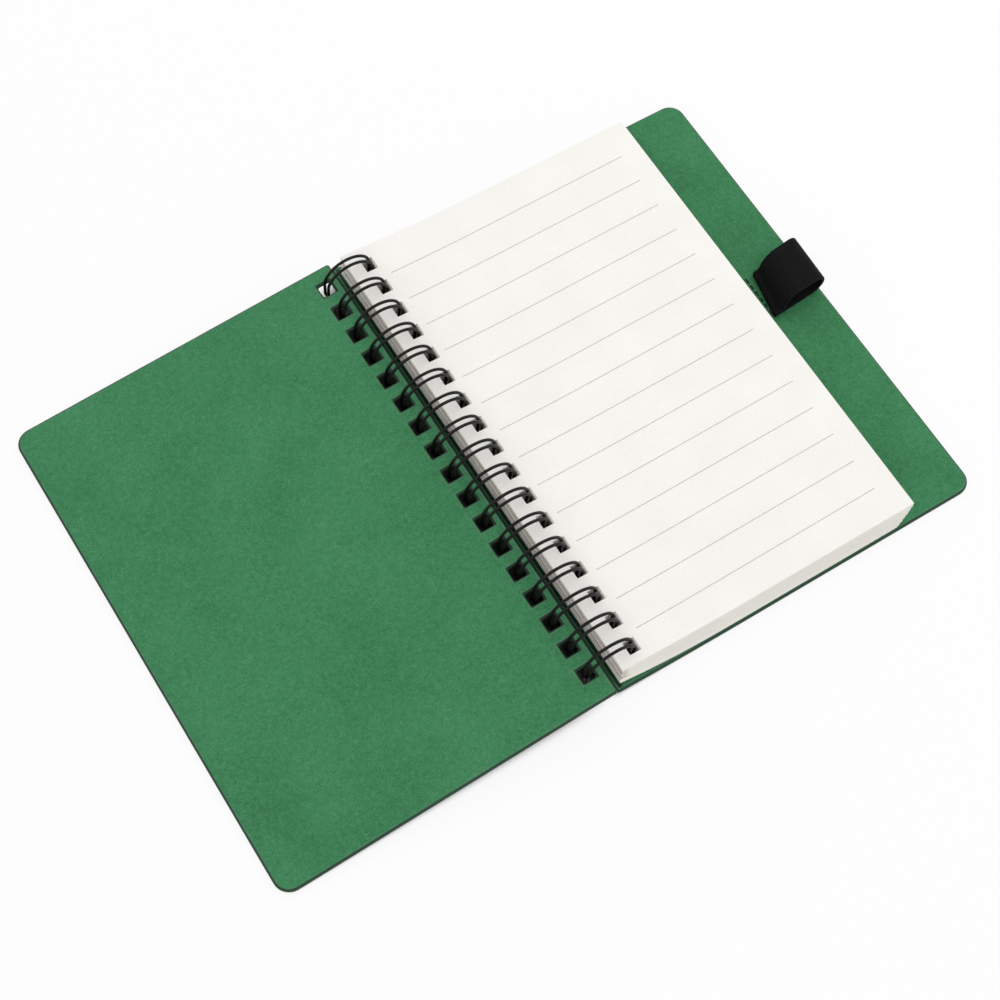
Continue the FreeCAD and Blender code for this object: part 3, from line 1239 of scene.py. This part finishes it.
@dataclass
class PageStack:
    """The ruled pages, as single sheets that lean on the wire and fan at the fore edge."""

    lift: SpineLift
    punching: Punching
    sheets: int = 72
    sheet_thickness: float = 0.08 * MM
    rest: float = 2.1 * MM
    thickness: float = 8.7 * MM
    page_height: float = 146.2 * MM
    offset: float = -0.5 * MM
    hole_offset: float = -0.25 * MM
    end_slant: float = 1.4 * MM
    hole_trim: float = 0.45 * MM
    hole_ledge: float = 0.28 * MM
    ledge_from: float = 0.95
    spine_slant: float = 0.6 * MM
    fore_slant: float = 4.5 * MM
    fore_power: float = 1.65
    seam_gap: float = 2.1 * MM
    seam_run: float = 20.3 * MM
    seam_start: float = -9.7 * MM
    bends: int = 16
    hole_margin: float = 2.4 * MM
    edge_margin: float = 1.0 * MM
    spine_stray: tuple[float, float] = (-0.03 * MM, 0.03 * MM)
    fore_stray: tuple[float, float] = (-0.05 * MM, 0.03 * MM)
    swing: tuple[float, float] = (-0.035, 0.035)
    end_stray: tuple[float, float] = (0.04 * MM, 0.16 * MM)
    painted_edge_shade_stray: tuple[float, float] = (-0.12, 0.12)
    seed: int = 7
    bundles: tuple[Bundle, ...] = (
        Bundle(0.24, -0.05 * MM, 0.10 * MM, 0.05),
        Bundle(0.47, 0.22 * MM, -0.22 * MM, 0.95),
        Bundle(0.53, -0.02 * MM, 0.12 * MM, 0.20),
        Bundle(0.80, 0.20 * MM, -0.10 * MM, 0.85),
        Bundle(0.90, 0.10 * MM, 0.08 * MM, 0.45),
        Bundle(1.01, 0.0, 0.0, 0.05),
    )

    def bundle(self, share: float) -> Bundle:
        """Return the bundle that a sheet lies in, from its share of the way up."""
        return next(bundle for bundle in self.bundles if share < bundle.upto)

    def height(self, x: float, share: float) -> float:
        """Work out the height of a sheet.

        Args:
            x: Where along X.
            share: How far up the stack it lies, from 0 to 1.

        Returns:
            The height of its middle there.
        """
        reach = max(self.seam_run - x, 0.0) / (self.seam_run - self.seam_start)
        gap = self.seam_gap * reach ** 2 * (1.0 - share)
        span = self.thickness - self.sheet_thickness
        return self.rest + self.sheet_thickness / 2.0 + span * share + gap + self.lift.height(x)

    def end_shift(self, z: float) -> float:
        """Return how far a sheet's two ends lie up the page at a height, as the ends lean."""
        middle = self.rest + self.thickness / 2.0
        return self.offset + self.end_slant * (z - middle) / self.thickness

    def first_sheet(self, spine: float, fore: float, height: float) -> Blank:
        """Make one flat sheet with its holes.

        Args:
            spine: Where the top sheet ends at the binding.
            fore: Where the top sheet ends on the other side.
            height: Its length up the page.

        Returns:
            The sheet, its middle at z = 0.
        """
        middle = Vector(((spine + fore) / 2.0, 0.0, 0.0))
        sheet = Blank.flat("sheet", (fore - spine, height), middle)
        hole = spine + self.punching.setback
        with sheet.editing():
            for x in self.lift.columns(self.bends):
                if abs(x - hole) > self.hole_margin and x > spine + self.edge_margin:
                    sheet.pick_all()
                    sheet.slice(Vector((x, 0.0, 0.0)), ACROSS)
            self.punching.punch(sheet, hole)
        sheet.dress(
            PaperFinish().material(), RuledPaperFinish().material(), PaperEdgeFinish().material()
        )
        sheet.finish_with(
            "SOLIDIFY", thickness=self.sheet_thickness, offset=0.0, material_offset_rim=2
        )
        sheet.close_up()
        return sheet

    def build(self) -> None:
        """Make the sheets, lay them on each other and join them into one book of pages."""
        low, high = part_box(Node.PAGES.value)
        chance = random.Random(self.seed)
        fore = high.x
        spine = low.x + self.spine_slant
        first = self.first_sheet(spine, fore, self.page_height)
        stack = []
        for number in range(self.sheets):
            share = number / (self.sheets - 1)
            sheet = first.copy("sheet")
            self.place_sheet(sheet, share, spine, fore, chance)
            stack.append(sheet)
        with stack[-1].editing():
            stack[-1].pick(Pick.FACES, lambda _, facing: facing.z > FACES_UP)
            stack[-1].paint(1)
        bpy.data.objects.remove(first.thing)
        book = stack[-1]
        book.join(stack[:-1])
        book.call("pages")
        book.smooth(30.0)
        book.hand_over(Body.PAGES, Slot.PAPER, Node.PAGES)

    def place_sheet(
        self, sheet: Blank, share: float, spine: float, fore: float, chance: random.Random
    ) -> None:
        """Slide, trim, bend and tag one sheet of the stack.

        Args:
            sheet: A copy of the first sheet.
            share: How far up the stack it lies, from 0 to 1.
            spine: Where the top sheet ends at the binding.
            fore: Where the top sheet ends on the other side.
            chance: The source of the small differences between sheets.
        """
        bundle = self.bundle(share)
        loose = 1.0 if share < 1.0 else 0.0
        slide = -self.spine_slant * (1.0 - share)
        spine_step = loose * (bundle.spine_step + chance.uniform(*self.spine_stray))
        fore_end = fore - self.fore_slant * (1.0 - share) ** self.fore_power
        fore_end = min(fore_end + loose * (bundle.fore_step + chance.uniform(*self.fore_stray)), fore)
        swing = loose * chance.uniform(*self.swing)
        end_step = loose * chance.uniform(*self.end_stray)
        half = self.sheet_thickness
        hole_end = spine + self.punching.setback + self.punching.side / 2.0
        hole_step = self.hole_trim
        if share < self.ledge_from:
            hole_step += self.hole_ledge * share

        def rule(at: Vector) -> Vector:
            """Place a corner of the flat sheet.

            Args:
                at: Where it is on the flat sheet.

            Returns:
                Where it goes in the stack.
            """
            x = at.x + slide
            if abs(at.x - hole_end) < half:
                x -= hole_step
            if abs(at.x - spine) < half:
                x += spine_step
            if abs(at.x - fore) < half:
                x = fore_end
            z = at.z + self.height(x, share)
            y = at.y + self.hole_offset
            if abs(at.y) > self.page_height / 2.0 - half:
                y = at.y + self.end_shift(z) - math.copysign(end_step, at.y)
            return Vector((x, y + math.radians(swing) * (at.x - spine), z))

        sheet.lay(rule)
        # painted shade on this sheet's edges, from its bundle with a small random spread
        painted_edge_shade = bundle.painted_edge_shade + chance.uniform(*self.painted_edge_shade_stray)
        tone = sheet.thing.data.attributes.new(PaperEdgeFinish.attribute, "FLOAT", "POINT")
        tone.data.foreach_set("value", [painted_edge_shade] * len(sheet.thing.data.vertices))


# ---- binding -----------------------------------------------------------------------
@dataclass
class TwinLoopBinding:
    """One black wire bent into double loops, with its seam under the pages."""

    punching: Punching
    diameter: float = 0.9 * MM
    radius: float = 7.3 * MM
    side: float = 3.5 * MM
    spacing: float = 2.1 * MM
    seam_angle: float = 28.0
    tip_gap: float = 0.35 * MM
    stub: float = 0.8 * MM
    rounding: float = 0.1 * MM
    rounded_share: float = 0.8
    sides: int = 14
    lower_steps: int = 18
    upper_steps: int = 22
    tip_steps: int = 2
    turn_steps: int = 10
    seam_steps: int = 5

    def __post_init__(self) -> None:
        """Work out the middle of the ring and the angles of its seam and tips."""
        low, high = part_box(Node.WIRE.value)
        half = self.spacing / 2.0
        top = self.radius + self.side + self.diameter / 2.0
        self.lower = Vector(((low.x + high.x) / 2.0, 0.0, high.z - top))
        self.root = -self.seam_angle - math.degrees(half / self.radius)
        reach = half + self.diameter + self.tip_gap
        self.tip = -self.seam_angle + math.degrees(reach / self.radius)

    def outward(self, angle: float) -> Vector:
        """Return the direction from the middle of the ring at an angle."""
        turn = math.radians(angle)
        return Vector((math.cos(turn), 0.0, math.sin(turn)))

    def on_ring(self, angle: float, y: float) -> Vector:
        """Return the point of the ring at an angle, at y along the binding."""
        return self.lower + self.outward(angle) * self.radius + ALONG * y

    def half_loop(self, wire: Blank, y: float, back: bool) -> None:
        """Draw one strand of a double loop between its seam and its tip.

        Args:
            wire: The wire so far, with its end ring picked.
            y: Where the strand lies along the binding.
            back: True for the strand that runs back from the tip to the seam.
        """
        lower = self.lower + ALONG * y
        upper = lower + UP * self.side
        runs = [
            (lower, 180.0 + self.root, self.lower_steps),
            (None, self.side, 1),
            (upper, 180.0, self.upper_steps),
            (None, -self.side, 1),
            (lower, -self.tip, self.tip_steps),
        ]
        way = -1.0 if back else 1.0
        for centre, amount, steps in runs[::-1] if back else runs:
            if centre is None:
                wire.stretch(UP * amount * way)
            else:
                wire.sweep(centre, ALONG, amount * way, steps)

    def double_loop(self, y: float) -> Blank:
        """Make one double loop.

        Args:
            y: Where its middle lies along the binding.

        Returns:
            The loop, with an open ring at each end that the next one joins.
        """
        half = self.spacing / 2.0
        root = self.outward(self.root)
        enter = self.on_ring(self.root, y + half) + ALONG * half
        along_ring = ALONG.cross(root)
        wire = Blank.ring("wire", self.diameter / 2.0, enter - along_ring * half, ALONG, self.sides)
        with wire.editing():
            wire.pick_all()
            wire.sweep(enter, root, 90.0, self.seam_steps)
            self.half_loop(wire, y + half, False)
            tip = self.outward(self.tip)
            wire.sweep(self.on_ring(self.tip, y), tip, -180.0, self.turn_steps)
            self.half_loop(wire, y - half, True)
            leave = self.on_ring(self.root, y - half) - ALONG * half
            wire.sweep(leave, root, 90.0, self.seam_steps)
        return wire

    def build(self) -> None:
        """Make the loops, join them along the seam and round off the two ends."""
        rows = self.punching.rows()
        first = self.double_loop(rows[0])
        others = []
        for y in rows[1:]:
            loop = first.copy("wire")
            loop.turn(0.0, UP, ALONG * (y - rows[0]))
            others.append(loop)
        first.join(others)
        with first.editing():
            for upper, lower in zip(rows, rows[1:]):
                ends = (upper - self.spacing, lower + self.spacing)
                first.pick(Pick.EDGES, lambda at, _: min(abs(at.y - end) for end in ends) < TOUCH)
                bpy.ops.mesh.bridge_edge_loops()
            for y, way in ((rows[0], 1.0), (rows[-1], -1.0)):
                first.pick(Pick.EDGES, lambda at, _: abs(at.y - y - way * self.spacing) < TOUCH)
                first.stretch(ALONG * way * (self.stub - self.rounding))
                first.stretch(ALONG * way * self.rounding)
                bpy.ops.transform.resize(value=(self.rounded_share, 1.0, self.rounded_share))
                bpy.ops.mesh.edge_face_add()
        first.close_up()
        first.call("twin_loop_wire")
        first.dress(CoatedWireFinish().material())
        first.smooth(40.0)
        first.hand_over(Body.PAGES, Slot.WIRE, Node.WIRE)


# ---- pen loop ----------------------------------------------------------------------
@dataclass
class PenLoop:
    """The elastic tape, folded into a tube, a little askew, and sewn flat at its inner end."""

    width: float = 15.4 * MM
    thickness: float = 1.0 * MM
    length: float = 17.6 * MM
    height: float = 8.3 * MM
    skew: float = 10.0
    land: float = 1.7 * MM
    shoulder: float = 5.4 * MM
    slip: float = 0.25
    taper: float = 2.4 * MM
    set_off: tuple[float, float] = (-0.4 * MM, -0.7 * MM)
    yarns: int = 20
    selvedge: float = 0.28 * MM
    selvedge_steps: int = 3
    flat_steps: int = 12
    fold_steps: int = 14
    back_steps: int = 6
    bend_steps: int = 8
    land_steps: int = 2

    def build(self) -> None:
        """Fold the tape, give it its thickness and put it on the back cover."""
        low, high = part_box(Node.LOOP.value)
        half = self.thickness / 2.0
        fold = self.height / 2.0
        fold_x = self.length - fold
        pinch = self.height - self.shoulder - 2.0 * self.thickness
        shoulder_x = self.land + pinch + self.shoulder
        tape = Blank.flat(
            "elastic_tape", (fold_x, self.width), Vector((fold_x / 2.0, 0.0, half)),
            (self.flat_steps, self.yarns),
        )
        run = fold_x
        with tape.editing():
            tape.pick(Pick.CORNERS, lambda at, _: abs(at.x - fold_x) < TOUCH)
            centre = Vector((fold_x, 0.0, fold))
            run = self.fold(tape, run, centre, fold - half, -180.0, self.fold_steps)
            run = self.draw(tape, run, shoulder_x - fold_x, self.back_steps)
            centre = Vector((shoulder_x, 0.0, self.height - self.shoulder))
            run = self.fold(tape, run, centre, self.shoulder - half, -90.0, self.bend_steps)
            centre = Vector((self.land, 0.0, self.height - self.shoulder))
            run = self.fold(tape, run, centre, pinch + half, 90.0, self.bend_steps)
            self.draw(tape, run, -self.land, self.land_steps)
        self.mark_weave(tape, fold_x)
        tape.lay(self.drift)
        tape.dress(ElasticFinish().material())
        tape.close_up()
        tape.finish_with("SOLIDIFY", thickness=self.thickness, offset=0.0, use_even_offset=True)
        tape.finish_with(
            "BEVEL", width=self.selvedge, segments=self.selvedge_steps, limit_method="ANGLE",
            angle_limit=math.radians(60.0),
        )
        tape.smooth(40.0)
        turn = math.radians(self.skew)
        middle = (low + high) / 2.0
        across = Vector((math.cos(turn), -math.sin(turn), 0.0)) * (self.length / 2.0)
        place = Vector((middle.x, middle.y, low.z)) - across
        tape.turn(-self.skew, UP, place)
        tape.hand_over(Body.BACK, Slot.ELASTIC, Node.LOOP)

    def fold(
        self, tape: Blank, run: float, centre: Vector, radius: float, degrees: float, steps: int
    ) -> float:
        """Fold the tape's end round an axis, one step at a time, and note how far it has run.

        Args:
            tape: The tape so far, with its end picked.
            run: The length of tape so far.
            centre: The middle of the fold.
            radius: The fold's radius at the middle of the tape.
            degrees: How far it turns.
            steps: In how many steps.

        Returns:
            The length of tape after the fold.
        """
        for _ in range(steps):
            tape.sweep(centre, ALONG, degrees / steps, 1)
            run += radius * math.radians(abs(degrees)) / steps
            tape.tag(ElasticFinish.along, run)
        return run

    def draw(self, tape: Blank, run: float, reach: float, steps: int) -> float:
        """Draw the tape's end out along X, one step at a time.

        Args:
            tape: The tape so far, with its end picked.
            run: The length of tape so far.
            reach: How far along X.
            steps: In how many steps.

        Returns:
            The length of tape after it.
        """
        for _ in range(steps):
            tape.stretch(ACROSS * (reach / steps))
            run += abs(reach) / steps
            tape.tag(ElasticFinish.along, run)
        return run

    def drift(self, at: Vector) -> Vector:
        """Slip a point of the square loop, as the tape is wrapped a little askew.

        Args:
            at: Where it is on the square loop.

        Returns:
            Where it goes.
        """
        share = at.y / self.width + 0.5
        x = at.x * (1.0 - self.taper * share / self.length) + self.set_off[0]
        return Vector((x, at.y + self.slip * at.x + self.set_off[1], at.z))

    def mark_weave(self, tape: Blank, flat: float) -> None:
        """Write on the tape how far along and across it each corner lies.

        Args:
            tape: The folded tape.
            flat: The length of its flat run on the board.
        """
        mesh = tape.thing.data
        along = mesh.attributes[ElasticFinish.along]
        across = mesh.attributes.new(ElasticFinish.across, "FLOAT", "POINT")
        for number, corner in enumerate(mesh.vertices):
            across.data[number].value = corner.co.y
            if along.data[number].value == 0.0:
                along.data[number].value = min(corner.co.x, flat)


@dataclass
class Stitching:
    """The row of stitches beside the tape, and the fibres that the needle tore up."""

    stitches: int = 6
    step: float = 2.4 * MM
    radius: float = 0.3 * MM
    thread_share: float = 0.86
    depth_share: float = 0.8
    bend_share: float = 0.3
    bend_steps: int = 5
    sides: int = 10
    fibres: int = 26
    scatter: tuple[float, float] = (0.45 * MM, 0.35 * MM)
    sunk: float = 0.05 * MM
    fibre_radius: tuple[float, float] = (0.04 * MM, 0.08 * MM)
    fibre_bend: tuple[float, float] = (0.35 * MM, 0.7 * MM)
    fibre_turn: tuple[float, float] = (50.0, 95.0)
    fibre_tip: float = 0.4
    fibre_sides: int = 5
    fibre_steps: int = 5
    seed: int = 11

    def build(self) -> None:
        """Make the stitches and the torn fibres."""
        low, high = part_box(Node.THREAD.value)
        length = high.y - low.y - self.step * (self.stitches - 1)
        x = low.x + self.radius
        self.sew(Vector((x, low.y, low.z)), length)
        self.tear(Vector((x, low.y, low.z)), length)

    def sew(self, start: Vector, length: float) -> None:
        """Make one stitch that rises out of the board and dips back, and repeat it.

        Args:
            start: Where the first stitch leaves the board.
            length: The length of a stitch.
        """
        depth = self.radius * self.depth_share
        root = start - UP * depth
        stitch = Blank.ring("stitch", self.radius * self.thread_share, root, UP, self.sides)
        bend = min(length * self.bend_share, 2.0 * depth)
        with stitch.editing():
            stitch.pick_all()
            stitch.sweep(root + ALONG * bend, ACROSS, -90.0, self.bend_steps)
            stitch.stretch(ALONG * (length - 2.0 * bend))
            stitch.sweep(root + ALONG * (length - bend), ACROSS, -90.0, self.bend_steps)
        stitch.lay(lambda at: Vector((at.x, at.y, min(at.z, start.z + self.radius))))
        rows = []
        for number in range(1, self.stitches):
            other = stitch.copy("stitch")
            other.turn(0.0, UP, ALONG * (self.step * number))
            rows.append(other)
        stitch.join(rows)
        stitch.close_up()
        stitch.call("loop_stitches")
        stitch.dress(ThreadFinish().material())
        stitch.smooth(50.0)
        stitch.hand_over(Body.BACK, Slot.THREAD, Node.THREAD)

    def tear(self, start: Vector, length: float) -> None:
        """Make the short pale fibres that stand up round the needle holes.

        Args:
            start: Where the first stitch leaves the board.
            length: The length of a stitch.
        """
        chance = random.Random(self.seed)
        tufts = []
        wide, long = self.scatter
        for _ in range(self.fibres):
            hole = chance.randrange(self.stitches)
            end = chance.choice((0.0, length))
            foot = start + ALONG * (self.step * hole + end)
            foot += Vector((chance.uniform(-wide, wide), chance.uniform(-long, long), -self.sunk))
            tufts.append(self.fibre(foot, chance))
        tufts[0].join(tufts[1:])
        tufts[0].close_up()
        tufts[0].call("torn_fibres")
        tufts[0].dress(TornFibreFinish().material())
        tufts[0].smooth(60.0)
        tufts[0].hand_over(Body.BACK, Slot.BOARD)

    def fibre(self, foot: Vector, chance: random.Random) -> Blank:
        """Make one fibre that rises from the board and bends over.

        Args:
            foot: Where it leaves the board.
            chance: The source of its differences.

        Returns:
            The fibre.
        """
        heading = chance.uniform(0.0, math.tau)
        side = Vector((math.cos(heading), math.sin(heading), 0.0))
        tuft = Blank.ring("fibre", chance.uniform(*self.fibre_radius), foot, UP, self.fibre_sides)
        bend = foot + side * chance.uniform(*self.fibre_bend)
        turn = chance.uniform(*self.fibre_turn)
        with tuft.editing():
            tuft.pick_all()
            tuft.sweep(bend, UP.cross(side), turn, self.fibre_steps)
            bpy.ops.transform.resize(value=(self.fibre_tip,) * 3)
            bpy.ops.mesh.edge_face_add()
        return tuft


# ---- studio ------------------------------------------------------------------------
@dataclass
class Studio:
    """A white table, soft light and the camera."""

    eye: Vector = field(default_factory=lambda: Vector((-0.15678, -0.19569, 0.50956)))
    look_at: Vector = field(default_factory=lambda: Vector((-0.00668, -0.01005, 0.0)))
    roll: float = 7.493
    lens: float = 72.883
    shift: tuple[float, float] = (-0.0005, 0.0005)
    fill: float = 0.90
    key_watts: float = 1.05
    key_size: float = 0.55
    key_from: Vector = field(default_factory=lambda: Vector((0.55, 0.15, 0.75)))
    table_size: float = 12.0
    table_gap: float = 0.02 * MM
    sensor: float = 36.0
    near: float = 0.01

    def build(self) -> None:
        """Set up the table, the lamp, the world and the camera."""
        self.add_table()
        self.add_key()
        self.add_world()
        self.add_camera()
        bpy.context.scene.view_settings.view_transform = "Standard"

    def add_table(self) -> None:
        """Lay the table top just under the pad."""
        Blank.clear_bench()
        bpy.ops.mesh.primitive_plane_add(size=self.table_size, location=-UP * self.table_gap)
        table = bpy.context.object
        table.name = "table"
        bpy.ops.object.transform_apply(location=True, rotation=True, scale=True)
        table.data.materials.append(TableFinish().material())

    def add_key(self) -> None:
        """Hang one large soft lamp over the pen loop's side of the pad."""
        Blank.clear_bench()
        turn = self.key_from.to_track_quat("Z", "Y").to_euler()
        bpy.ops.object.light_add(type="AREA", location=self.key_from, rotation=turn)
        lamp = bpy.context.object
        lamp.name = "key_lamp"
        lamp.data.shape = "DISK"
        lamp.data.size = self.key_size
        lamp.data.energy = self.key_watts

    def add_world(self) -> None:
        """Fill the room with even light, white where it is looked at."""
        mix = Recipe(bpy.data.worlds.new("studio"))
        strength = mix.looked_at() * (1.0 - self.fill) + self.fill
        room = mix.node("Background", inputs={"Color": WHITE, "Strength": strength})
        bpy.context.scene.world = mix.close("OutputWorld", room)

    def add_camera(self) -> None:
        """Put the camera over the front cover's near corner, rolled a little."""
        Blank.clear_bench()
        facing = (self.eye - self.look_at).to_track_quat("Z", "Y").to_matrix()
        turn = (facing @ Matrix.Rotation(math.radians(self.roll), 3, "Z")).to_euler()
        bpy.ops.object.camera_add(location=self.eye, rotation=turn)
        camera = bpy.context.object
        camera.name = "camera"
        camera.data.lens = self.lens
        camera.data.sensor_width = self.sensor
        camera.data.shift_x, camera.data.shift_y = self.shift
        camera.data.clip_start = self.near
        bpy.context.scene.camera = camera


def main() -> None:
    """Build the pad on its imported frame."""
    logging.basicConfig(level=logging.INFO, format="%(name)s: %(message)s")
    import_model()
    punching = Punching()
    FrontCover().build()
    back = BackCover()
    back.build()
    PageStack(back.lift(), punching).build()
    TwinLoopBinding(punching).build()
    PenLoop().build()
    Stitching().build()
    Studio().build()


if __name__ == "__main__":
    main()
